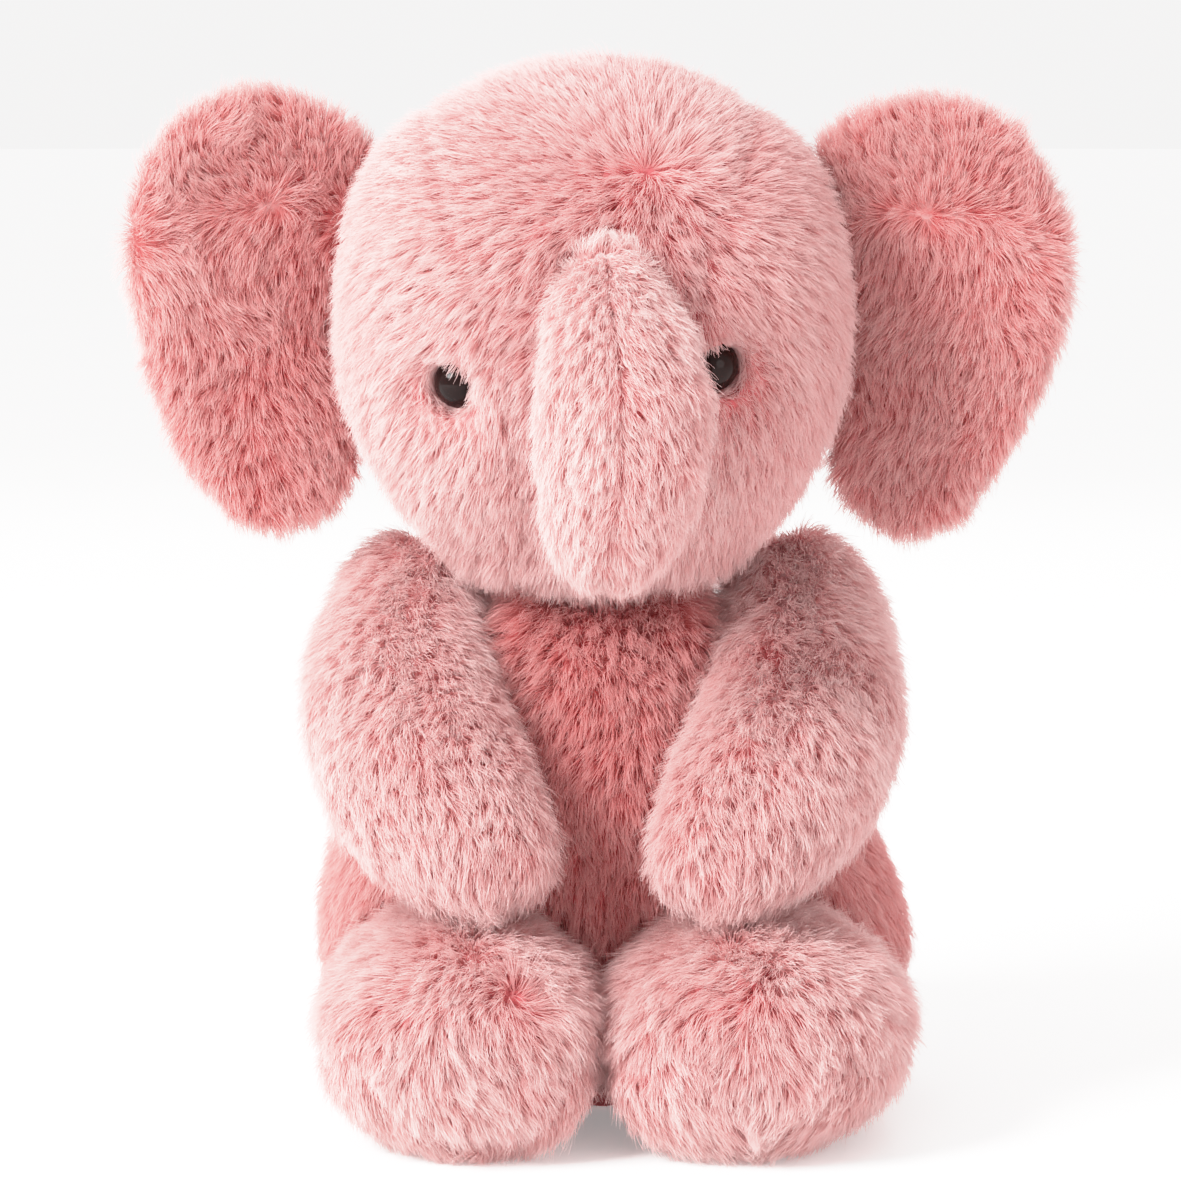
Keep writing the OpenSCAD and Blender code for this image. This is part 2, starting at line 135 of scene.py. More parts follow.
def lumps(points, size, shift=0.0):
    """Smooth noise, three numbers for each point, with lumps of about that size."""
    q = points / size + shift
    cell = np.floor(q).astype(int)
    f = q - cell
    f = f * f * (3 - 2 * f)
    total = np.zeros((len(points), 3))
    for corner in np.ndindex(2, 2, 2):
        c = np.array(corner)
        weight = np.prod(np.where(c, f, 1 - f), axis=1)
        i = (cell + c) & (LATTICE_SIZE - 1)
        total += weight[:, None] * LATTICE[i[:, 0], i[:, 1], i[:, 2]]
    return total


def across(v, normal):
    """The part of v that lies in the surface."""
    return v - (v * normal).sum(1, keepdims=True) * normal


# ---------------------------------------------------------------- meshes

def arrays(mesh):
    """A mesh's points and triangles."""
    mesh.calc_loop_triangles()
    co = np.empty(len(mesh.vertices) * 3, np.float32)
    mesh.vertices.foreach_get("co", co)
    tri = np.empty(len(mesh.loop_triangles) * 3, np.int32)
    mesh.loop_triangles.foreach_get("vertices", tri)
    return co.reshape(-1, 3).astype(float), tri.reshape(-1, 3)


def joined(nodes):
    """The points and triangles of several CAD nodes together."""
    points, faces, n = [], [], 0
    for name in nodes:
        co, tri = arrays(NODES[name].data)
        points.append(co)
        faces.append(tri + n)
        n += len(co)
    return np.vstack(points), np.vstack(faces)


def tree(points, faces):
    return BVHTree.FromPolygons(points.tolist(), faces.tolist())


def indexed(points):
    """A tree to find the nearest of these points with."""
    index = kdtree.KDTree(len(points))
    for i, p in enumerate(points.tolist()):
        index.insert(p, i)
    index.balance()
    return index


def made(name, points, faces):
    mesh = bpy.data.meshes.new(name)
    mesh.from_pydata(points.tolist(), [], faces.tolist())
    obj = bpy.data.objects.new(name, mesh)
    bpy.context.scene.collection.objects.link(obj)
    return obj


def settled(obj):
    """Applies the modifiers."""
    now = bpy.context.evaluated_depsgraph_get()
    mesh = bpy.data.meshes.new_from_object(obj.evaluated_get(now), depsgraph=now)
    mesh.name = obj.name
    obj.modifiers.clear()
    obj.data = mesh
    return obj


def remeshed(name, points, faces, voxel, smoothing):
    """One closed surface around the given ones, out of even quads."""
    obj = made(name, points, faces)
    remesh = obj.modifiers.new("Remesh", "REMESH")
    remesh.mode, remesh.voxel_size, remesh.use_smooth_shade = "VOXEL", voxel, True
    soften = obj.modifiers.new("Smooth", "SMOOTH")
    soften.factor, soften.iterations = 0.5, smoothing
    return settled(obj)


def place(obj, points):
    obj.data.vertices.foreach_set("co", points.astype(np.float32).ravel())
    obj.data.update()


def normals(obj):
    out = np.empty(len(obj.data.vertices) * 3, np.float32)
    obj.data.vertex_normals.foreach_get("vector", out)
    return out.reshape(-1, 3).astype(float)


def distances(bvh, points, reach):
    """How far each point is from the surface, and the way from the surface to it."""
    far = np.full(len(points), reach)
    way = np.zeros((len(points), 3))
    for i, p in enumerate(points.tolist()):
        hit, _, _, d = bvh.find_nearest(p, reach)
        if hit is not None:
            far[i] = d
            way[i] = (p[0] - hit[0], p[1] - hit[1], p[2] - hit[2])
    return far, way


def quads_of(obj):
    corners = np.empty(len(obj.data.loops), np.int32)
    obj.data.loops.foreach_get("vertex_index", corners)
    return corners.reshape(-1, 4)


def edges_of(quads):
    """Every edge once, and which edge each side of each quad is."""
    sides = np.concatenate([quads[:, [k, (k + 1) % 4]] for k in range(4)])
    return np.unique(np.sort(sides, axis=1), axis=0, return_inverse=True)


def summed(index, values, count):
    """The sum of the rows of values that have the same index."""
    return np.stack([np.bincount(index, values[:, k], count) for k in range(values.shape[1])], axis=1)


def facing(points, quads):
    """The normal at each point."""
    a, b, c, d = (points[quads[:, k]] for k in range(4))
    normal = np.cross(c - a, d - b)
    return unit(sum(summed(quads[:, k], normal, len(points)) for k in range(4)))


def eased(points, quads, times):
    """Each point moved towards the middle of its neighbours."""
    edges, _ = edges_of(quads)
    count = np.bincount(edges.ravel(), minlength=len(points))[:, None]
    for _ in range(times):
        mean = summed(edges[:, 0], points[edges[:, 1]], len(points))
        mean += summed(edges[:, 1], points[edges[:, 0]], len(points))
        points = points + (mean / np.maximum(count, 1) - points) * 0.5
    return points


def halved(points, quads, data):
    """Each quad cut in four, with the data of every point carried along."""
    edges, side = edges_of(quads)
    n, m = len(points), len(edges)
    e = side.reshape(4, -1) + n
    middle = np.arange(len(quads)) + n + m
    q = quads.T
    cut = [
        (q[0], e[0], middle, e[3]), (e[0], q[1], e[1], middle),
        (middle, e[1], q[2], e[2]), (e[3], middle, e[2], q[3]),
    ]

    def finer(x):
        return np.concatenate([x, x[edges].mean(1), x[quads].mean(1)])

    quarters = np.concatenate([np.stack(c, axis=1) for c in cut])
    return finer(points), quarters, {k: finer(x) for k, x in data.items()}


def largest(points, quads):
    """The largest connected piece of a mesh."""
    edges, _ = edges_of(quads)
    group = np.arange(len(points))
    while True:
        low = np.minimum(group[edges[:, 0]], group[edges[:, 1]])
        new = group.copy()
        np.minimum.at(new, edges[:, 0], low)
        np.minimum.at(new, edges[:, 1], low)
        new = new[new]
        if (new == group).all():
            break
        group = new
    keep = group == np.bincount(group).argmax()
    number = np.cumsum(keep) - 1
    return points[keep], number[quads[keep[quads[:, 0]]]]


def shell(name, points, inner, quads, tone):
    """A closed piece of cloth: its outer face, its inner face, and a rim between them."""
    used, local = np.unique(quads, return_inverse=True)
    q, n = local.reshape(-1, 4), len(used)
    sides = np.concatenate([q[:, [k, (k + 1) % 4]] for k in range(4)])
    there = set((sides[:, 0] * n + sides[:, 1]).tolist())
    open_side = np.array([b * n + a not in there for a, b in sides.tolist()])
    a, b = sides[open_side].T
    rim = np.stack([b, a, a + n, b + n], axis=1)
    obj = made(name, np.vstack([points[used], inner[used]]), np.vstack([q, q[:, ::-1] + n, rim]))
    obj.data.polygons.foreach_set("use_smooth", [True] * len(obj.data.polygons))
    # The tone attribute holds the skin's colour level, with its painted light and shade.
    value = obj.data.attributes.new("tone", "FLOAT", "POINT")
    value.data.foreach_set("value", np.tile(tone[used], 2).astype(np.float32))
    return obj


# ---------------------------------------------------------------- stuffing pressure

HULL_VOXEL = 5
SWELL_FRAMES = 20
SWELL_LIMIT = 3
PINNED = 3.0


def swell():
    """Blows each stuffed form up between its seams, as cloth under pressure, and says how each point moved."""
    hulls = {}
    for body, form in FORMS.items():
        hull = remeshed("hull_" + body, *joined(form["skins"] + [form["filling"]]), HULL_VOXEL * MM, 3)
        points, _ = arrays(hull.data)
        near = [distances(tree(*arrays(NODES[skin].data)), points, FAR)[0] for skin in form["skins"]]
        near = np.sort(np.array(near), axis=0)
        seam = near[1] - near[0] if len(near) > 1 else np.full(len(points), FAR)
        pins = hull.vertex_groups.new(name="seams")
        for i in np.nonzero(seam < PINNED * MM)[0].tolist():
            pins.add([i], 1.0, "REPLACE")
        cloth = hull.modifiers.new("Cloth", "CLOTH")
        s = cloth.settings
        s.quality, s.mass = 3, 0.15
        s.tension_stiffness = s.compression_stiffness = 12
        s.shear_stiffness, s.bending_stiffness = 4, 0.3
        s.use_pressure, s.uniform_pressure_force = True, 4.0
        s.effector_weights.gravity = 0
        s.vertex_group_mass = "seams"
        cloth.point_cache.frame_start, cloth.point_cache.frame_end = 1, SWELL_FRAMES
        hulls[body] = (hull, points)
    for f in range(1, SWELL_FRAMES + 1):
        bpy.context.scene.frame_set(f)
    moved = {}
    for body, (hull, rest) in hulls.items():
        after, _ = arrays(settled(hull).data)
        shift = after - rest
        size = np.linalg.norm(shift, axis=1, keepdims=True)
        shift *= np.minimum(1, SWELL_LIMIT * MM / np.maximum(size, 1e-9))
        moved[body] = (indexed(rest), shift)
        bpy.data.objects.remove(hull)
    bpy.context.scene.frame_set(1)
    return moved


def carried(field, points):
    """What the swollen hull's movement is at each of these points."""
    index, shift = field
    out = np.zeros((len(points), 3))
    for i, p in enumerate(points.tolist()):
        total, weights = 0, 0
        for _, j, d in index.find_n(p, 4):
            w = 1 / (d + 0.5 * MM)
            total = total + shift[j] * w
            weights += w
        out[i] = total / weights
    return out


# ---------------------------------------------------------------- eyes, pushes, and painted light and shade

EYE_DOME = 4.6
EYE_DIMPLE, EYE_DIMPLE_REACH = 2.0, 13


def middle(node):
    """The middle of a node's box."""
    low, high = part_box(node)
    return (np.array(low) + np.array(high)) / 2


def eye_place(side, look):
    """The middle of an eye's collar, and the way that the eye looks, which are those of the CAD."""
    washer, look = middle("eye_washer_" + side), unit(np.array([look]))[0]
    top = ((arrays(NODES["eye_" + side].data)[0] - washer) @ look).max()
    return washer + look * (top - EYE_DOME * MM), look


EYES = {
    "left": eye_place("left", (0.52, -0.83, -0.13)),
    "right": eye_place("right", (-0.56, -0.80, -0.21)),
}

# Small pushes on the skins and their fillings, as a sculpting brush gives them: where, how wide,
# and how far, in millimetres. Each acts on the forms that it names.
PUSHES = [
    ("ear_right", (-86, -14, 250), 38, (0, 0, 2.2)),
    ("ear_right", (-118, -14, 196), 36, (1.8, 0, 0)),
    ("ear_left", (108, -14, 231), 24, (-2.4, 0, -2.4)),
    ("ear_left", (116, -14, 188), 28, (2.2, 0, 0)),
    ("ear_left", (76, -14, 139), 28, (0, 0, -1.5)),
    ("head", (-38, -20, 250), 30, (0.8, 0, -2.6)),
    ("head", (36, -20, 247), 30, (-0.8, 0, -3.0)),
    ("head", (-60, -20, 152), 36, (4.6, 0, 0)),
    ("head", (60, -20, 150), 36, (-5.0, 0, 0)),
    ("leg_left", (68, -50, 28), 46, (6.5, 0, 0)),
    ("torso", (72, 0, 34), 42, (6.5, 0, 0)),
    ("leg_right", (-58, -96, 6), 26, (2.5, 0, 2.0)),
    ("leg_right", (-8, -94, 8), 24, (5.5, -1, -1.0)),
    ("leg_left", (8, -94, 8), 24, (-5.5, -1, -1.0)),
    ("arm_left", (70, -2, 130), 30, (2.2, 0, 1.5)),
    ("arm_right", (-70, -2, 134), 24, (0, 0, 1.5)),
    ("arm_right", (-73, -20, 91), 24, (3.2, 0, 0)),
    ("torso", (30, -22, 122), 26, (1, -3, 6.5)),
    ("torso", (-28, -22, 122), 24, (0, -3, 4.5)),
]


def pushed(body, points):
    """The points of a form after its pushes, with a dimple at each eye."""
    moved = points.copy()
    if body == "head":
        for eye, look in EYES.values():
            t = np.linalg.norm(points - eye, axis=1) / (EYE_DIMPLE_REACH * MM)
            moved -= (np.clip(1 - t * t, 0, 1) ** 2)[:, None] * look * EYE_DIMPLE * MM
    for name, at, reach, way in PUSHES:
        if name == body:
            t = np.linalg.norm(points - np.array(at) * MM, axis=1) / (reach * MM)
            moved += (np.clip(1 - t * t, 0, 1) ** 2)[:, None] * np.array(way) * MM
    return moved


# Painted light and shade on the pile, as more of its pale tips (above 0) where a form is painted lit by the key
# light, or more of its deep roots (below 0) where shade falls, in creases and grooves, under the head and on the
# sides away from the key light; the two thin lines on the head are the gusset seam's dark parting lines. The form,
# a line from one place to another and how wide it is, in millimetres, and how much.
PAINTED_LIGHT_SHADE_AND_SEAMS = [
    ("head", (-6, -68, 223), (24, -66, 219), 18, -0.85),
    ("head", (30, -60, 205), (40, -58, 190), 18, -0.25),
    ("head", (-36, -62, 160), (-46, -52, 200), 34, 0.5),
    ("head", (-30, -50, 238), (0, -50, 246), 22, 0.3),
    ("head", (-36, -62, 232), (-28, -72, 213), 3.5, -1.0),
    ("head", (-26, -74, 202), (-19, -79, 188), 3.5, -0.9),
    ("trunk", (-6, -100, 200), (-10, -104, 150), 18, 0.95),
    ("trunk", (-4, -84, 214), (4, -90, 206), 14, 1.4),
    ("trunk", (16, -100, 200), (18, -104, 140), 12, -0.3),
    ("ear_right", (-66, -22, 211), (-86, -22, 147), 12, -0.7),
    ("ear_right", (-72, -22, 190), (-80, -22, 165), 20, -0.6),
    ("ear_right", (-112, -22, 160), (-104, -22, 235), 16, 0.3),
    ("ear_left", (96, -22, 240), (112, -22, 190), 16, -0.1),
    ("head", (56, -30, 205), (46, -42, 150), 26, -0.9),
    ("torso", (0, -60, 92), (0, -60, 40), 34, -0.8),
    ("arm_right", (-60, -40, 120), (-40, -70, 80), 16, 0.3),
    ("leg_right", (-36, -105, 40), (-50, -100, 20), 22, 0.3),
    ("torso", (-72, -20, 60), (-74, 0, 35), 26, 0.9),
    ("arm_right", (-60, -20, 130), (-60, -45, 100), 24, 0.7),
    ("arm_left", (60, -20, 130), (58, -45, 100), 24, 0.6),
]


def brushed(body, points):
    """The tone that the lines of the table above give to each point: painted light and shade, and dark seam lines.
    """
    tone = np.zeros(len(points))
    for name, start, end, width, amount in PAINTED_LIGHT_SHADE_AND_SEAMS:
        if name == body:
            a, b = np.array(start) * MM, np.array(end) * MM
            share = np.clip((points - a) @ (b - a) / ((b - a) @ (b - a)), 0, 1)
            gap = np.linalg.norm(points - a - share[:, None] * (b - a), axis=1)
            tone += amount * np.exp(-((gap / (width * MM)) ** 2))
    return tone


# ---------------------------------------------------------------- lie of the pile

HEAD_BOX = [np.array(c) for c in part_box("head_gusset")]
# The whorl on the forehead, and the arc on each ear that the pile parts from.
WHORL = np.array([10 * MM, HEAD_BOX[0][1] + 14 * MM, HEAD_BOX[1][2] - 24 * MM])
ARC_HEIGHT = 0.26
ARC_HALF = 24 * MM
WHORL_CALM, ARC_CALM = 3 * MM, 9 * MM

# Where the pile of the arms and legs starts from, off their joints, in millimetres.
PILE_START = {"arm": (0, 16, 48), "leg": (0, 0, 30)}


def lie(body, points, normal):
    """Which way the pile is brushed on each form, and how firmly."""
    firm = np.ones(len(points))
    if body == "head":
        way = points - WHORL
        away = np.linalg.norm(way, axis=1, keepdims=True)
        way = way / np.maximum(away, 1e-6)
        way[:, 2] -= 0.35 * step(20 * MM, 80 * MM, away[:, 0])
        firm = away[:, 0] / (away[:, 0] + WHORL_CALM)
    elif body in ("torso", "neck"):
        way = np.tile([0.0, 0.0, -1.0], (len(points), 1))
        way[:, 0] += points[:, 0] * 6
    elif body.startswith("ear"):
        low, high = (np.array(c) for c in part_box(body.replace("ear", "ear_front")))
        crown = (low + high) / 2 + np.array([0, 0, ARC_HEIGHT * (high - low)[2]])
        off = points - crown
        off[:, 0] -= np.clip(off[:, 0], -ARC_HALF, ARC_HALF)
        off[:, 2] += 0.25 * (points - crown)[:, 0] ** 2 / ARC_HALF
        way = unit(off)
        away = np.linalg.norm(across(off, normal), axis=1)
        firm = away / (away + ARC_CALM)
    elif body in ANCHORS:
        start = np.array(PILE_START.get(body[:3], (0, 0, 0))) * MM
        way = unit(points - ANCHORS[body] - start)
        if body == "trunk":
            way[:, 2] -= 0.5 * step(204 * MM, 194 * MM, points[:, 2])
        if body.startswith("leg"):
            way[:, 2] -= 0.9
    return unit(across(way, normal)) * firm[:, None]


# ---------------------------------------------------------------- materials

class Nodes:
    """A short way to write shader nodes."""

    def __init__(self, name):
        self.material = bpy.data.materials.new(name)
        self.material.use_nodes = True
        self.tree = self.material.node_tree
        self.tree.nodes.clear()
        self.out = self.add("ShaderNodeOutputMaterial")

    def add(self, kind, **values):
        node = self.tree.nodes.new(kind)
        for key, value in values.items():
            if key in node.inputs.keys():
                self.plug(value, node.inputs[key])
            else:
                setattr(node, key, value)
        return node

    def plug(self, value, socket):
        if isinstance(value, bpy.types.NodeSocket):
            self.tree.links.new(value, socket)
        else:
            socket.default_value = value

    def ramp(self, fac, *stops):
        node = self.tree.nodes.new("ShaderNodeValToRGB")
        self.plug(fac, node.inputs["Fac"])
        elements = node.color_ramp.elements
        while len(elements) < len(stops):
            elements.new(0.5)
        for element, (at, colour) in zip(elements, stops):
            element.position, element.color = at, (*colour, 1)
        return node.outputs["Color"]

    def noise(self, scale, detail, rough, where, distort=0.0):
        values = dict(Scale=scale, Detail=detail, Roughness=rough, Distortion=distort, Vector=where)
        return self.add("ShaderNodeTexNoise", **values).outputs["Fac"]

    def maths(self, operation, a, b=0.5, c=0.0):
        node = self.tree.nodes.new("ShaderNodeMath")
        node.operation = operation
        for value, socket in zip((a, b, c), node.inputs):
            self.plug(value, socket)
        return node.outputs[0]

    def mix(self, fac, a, b):
        """Mixes two colours. The node has sockets for numbers and vectors before those for colours."""
        node = self.tree.nodes.new("ShaderNodeMix")
        node.data_type = "RGBA"
        for value, socket in ((fac, 0), (a, 6), (b, 7)):
            self.plug(value, node.inputs[socket])
        return node.outputs[2]

    def bump(self, height, strength, distance):
        values = dict(Height=height, Strength=strength, Distance=distance * MM)
        return self.add("ShaderNodeBump", **values).outputs[0]

    def blended(self, fac, a, b):
        node = self.add("ShaderNodeMixShader", Fac=fac)
        self.plug(a, node.inputs[1])
        self.plug(b, node.inputs[2])
        return node.outputs[0]

    def finished(self, surface):
        self.plug(surface, self.out.inputs["Surface"])
        return self.material


def linear(r, g, b):
    """A colour as it shows, from 0 to 255, in the light that the shaders work in."""
    return tuple(((c / 255 + 0.055) / 1.055) ** 2.4 for c in (r, g, b))


# The pile's colours, from its roots to its tips: its own pink, with painted shade deep at its roots and a painted
# highlight at its pale tips.
PLUSH = {
    "plush_pink": dict(
        root=linear(215, 102, 106), deep=linear(224, 151, 150),
        mid=linear(232, 199, 197), pale=linear(237, 217, 215),
    ),
    "plush_deep_pink": dict(
        root=linear(214, 86, 90), deep=linear(219, 122, 121),
        mid=linear(224, 166, 164), pale=linear(230, 194, 191),
    ),
}


def darkened(colour, share):
    return tuple(share * v for v in colour)


def skin_material(slot):
    """The skin under the pile, and the pile itself as it shows in the exported model."""
    c = PLUSH[slot]
    n = Nodes("pile_" + slot)
    where = n.add("ShaderNodeTexCoord").outputs["Object"]
    # The tone attribute brings the skin's painted light and shade; the ramp's colours are the pile's own, darkened
    # as painted shade for the shade down among the strands.
    tone = n.add("ShaderNodeAttribute", attribute_name="tone").outputs["Fac"]
    patches = n.noise(70, 3, 0.55, where)
    fibres = n.noise(900, 4, 0.7, where, 1.2)
    tufts = n.noise(330, 3, 0.6, where, 0.6)
    level = n.maths("MULTIPLY_ADD", patches, 0.2, 0.16)
    level = n.maths("MULTIPLY_ADD", tufts, 0.25, level)
    level = n.maths("MULTIPLY_ADD", fibres, 0.25, level)
    level = n.maths("MULTIPLY_ADD", tone, 0.75, level)
    colour = n.ramp(
        level, (0.12, darkened(c["root"], 0.5)), (0.4, darkened(c["root"], 0.75)),
        (0.62, darkened(c["deep"], 0.72)), (0.95, darkened(c["mid"], 0.72)),
    )
    height = n.maths("MULTIPLY_ADD", tufts, 0.7, fibres)
    shader = n.add("ShaderNodeBsdfPrincipled", Normal=n.bump(height, 0.7, 0.9))
    n.plug(colour, shader.inputs["Base Color"])
    n.plug(n.ramp(fibres, (0.2, (0.98,) * 3), (0.9, (0.8,) * 3)), shader.inputs["Roughness"])
    shader.inputs["Specular IOR Level"].default_value = 0.15
    shader.inputs["Sheen Weight"].default_value = 0.15
    shader.inputs["Sheen Roughness"].default_value = 0.45
    shader.inputs["Sheen Tint"].default_value = (*linear(250, 222, 220), 1)
    return n.finished(shader.outputs[0])


def fur_material(slot):
    """The strands of the pile, which let light through."""
    c = PLUSH[slot]
    n = Nodes("strands_" + slot)
    info = n.add("ShaderNodeHairInfo")
    # The shade attribute carries the tone of the skin under each strand, with its painted light and shade.
    shade = n.add("ShaderNodeAttribute", attribute_name="shade").outputs["Fac"]
    along = n.ramp(
        info.outputs["Intercept"], (0.0, c["root"]), (0.35, c["deep"]), (0.72, c["mid"]), (1.0, c["pale"]),
    )
    colour = n.mix(shade, n.mix(0.55, along, (*c["deep"], 1)), n.mix(0.35, along, (*c["pale"], 1)))
    diffuse = n.add("ShaderNodeBsdfDiffuse", Color=colour, Roughness=0.6)
    through = n.add("ShaderNodeBsdfTranslucent", Color=colour)
    gloss = n.add("ShaderNodeBsdfAnisotropic", Color=(0.9, 0.82, 0.82, 1), Roughness=0.5)
    soft = n.blended(0.42, diffuse.outputs[0], through.outputs[0])
    return n.finished(n.blended(0.06, soft, gloss.outputs[0]))


def simple_material(name, dark, light, scale, rough, bump, sheen=0.0, specular=0.5, glow=0.0):
    """A grained surface that goes between two colours and two roughnesses."""
    n = Nodes(name)
    where = n.add("ShaderNodeTexCoord").outputs["Object"]
    grain = n.noise(scale, 4, 0.65, where, 0.8)
    broad = n.noise(scale / 9, 3, 0.5, where)
    level = n.maths("MULTIPLY_ADD", broad, 0.5, n.maths("MULTIPLY", grain, 0.5))
    shader = n.add("ShaderNodeBsdfPrincipled", Normal=n.bump(grain, bump, 0.5))
    n.plug(n.ramp(level, (0.3, dark), (0.7, light)), shader.inputs["Base Color"])
    n.plug(n.ramp(grain, (0.2, (rough[0],) * 3), (0.8, (rough[1],) * 3)), shader.inputs["Roughness"])
    shader.inputs["Sheen Weight"].default_value = sheen
    shader.inputs["Specular IOR Level"].default_value = specular
    shader.inputs["Emission Color"].default_value = (1, 1, 1, 1)
    shader.inputs["Emission Strength"].default_value = glow
    return n.finished(shader.outputs[0])


SLOT_OF = {part["node"]: part["material_slot"] for part in frame["record"]["subparts"]}

SKIN = {slot: skin_material(slot) for slot in PLUSH}
FUR = {slot: fur_material(slot) for slot in PLUSH}


# ---------------------------------------------------------------- plush skins and their pile

# How far the pile stays long around the throat, where the bodies meet.
NECK_PILE = {"torso": 0.6, "head": 0.8, "neck": 1.0}
THROAT = ANCHORS["neck"] + np.array([0, -10, 4]) * MM

# How strongly the pile is brushed away from a seam (below 0, over it), and how far that reaches.
PARTINGS = {"trunk": (0.45, 8 * MM), "head": (0.12, 4 * MM), "leg_left": (0, 1), "leg_right": (0, 1)}
OTHER_PARTING = (-0.25, 4 * MM)

# Around each eye, in metres: the bare ring, how far the pile is parted and kept short, and how far a painted shade
# reaches round the eye.
BARE_RING = (5.0 * MM, 5.9 * MM)
EYE_PART, EYE_PAINTED_SHADE = 9 * MM, 8 * MM
EYE_SHORT = (6 * MM, 16 * MM)
EYE_CALM = (6 * MM, 14 * MM)


def bell(x, width):
    return np.exp(-((x / width) ** 2))


def relief(points, quads, way, seed):
    """How high each point stands in the tufts that lie over each other along the pile, from 0 to 1."""
    length, width = RELIEF_LENGTH * MM, RELIEF_WIDTH * MM
    rng = np.random.default_rng(seed)
    a, b, c, d = (points[quads[:, k]] for k in range(4))
    area = np.linalg.norm(np.cross(c - a, d - b), axis=1) / 2
    count = int(area.sum() / (RELIEF_AREA * MM * MM))
    seeds = points[quads[rng.choice(len(quads), count, p=area / area.sum()), 0]]
    tufts = indexed(seeds)
    near = np.array([[hit[1] for hit in tufts.find_n(p, RELIEF_NEIGHBOURS)] for p in points.tolist()])
    size = rng.uniform(0.8, 1.15, len(seeds))[near]
    off = points[:, None] - seeds[near]
    along = (off * way[:, None]).sum(2)
    side = np.linalg.norm(off - along[:, :, None] * way[:, None], axis=2)
    t = along / (length * size) + 0.38
    rise = np.where(t < 0.78, np.clip(t / 0.78, 0, 1) ** 0.8, np.clip((1 - t) / 0.22, 0, 1))
    return (rise * np.clip(1 - (side / (width * size)) ** 2, 0, 1) * size).max(1)


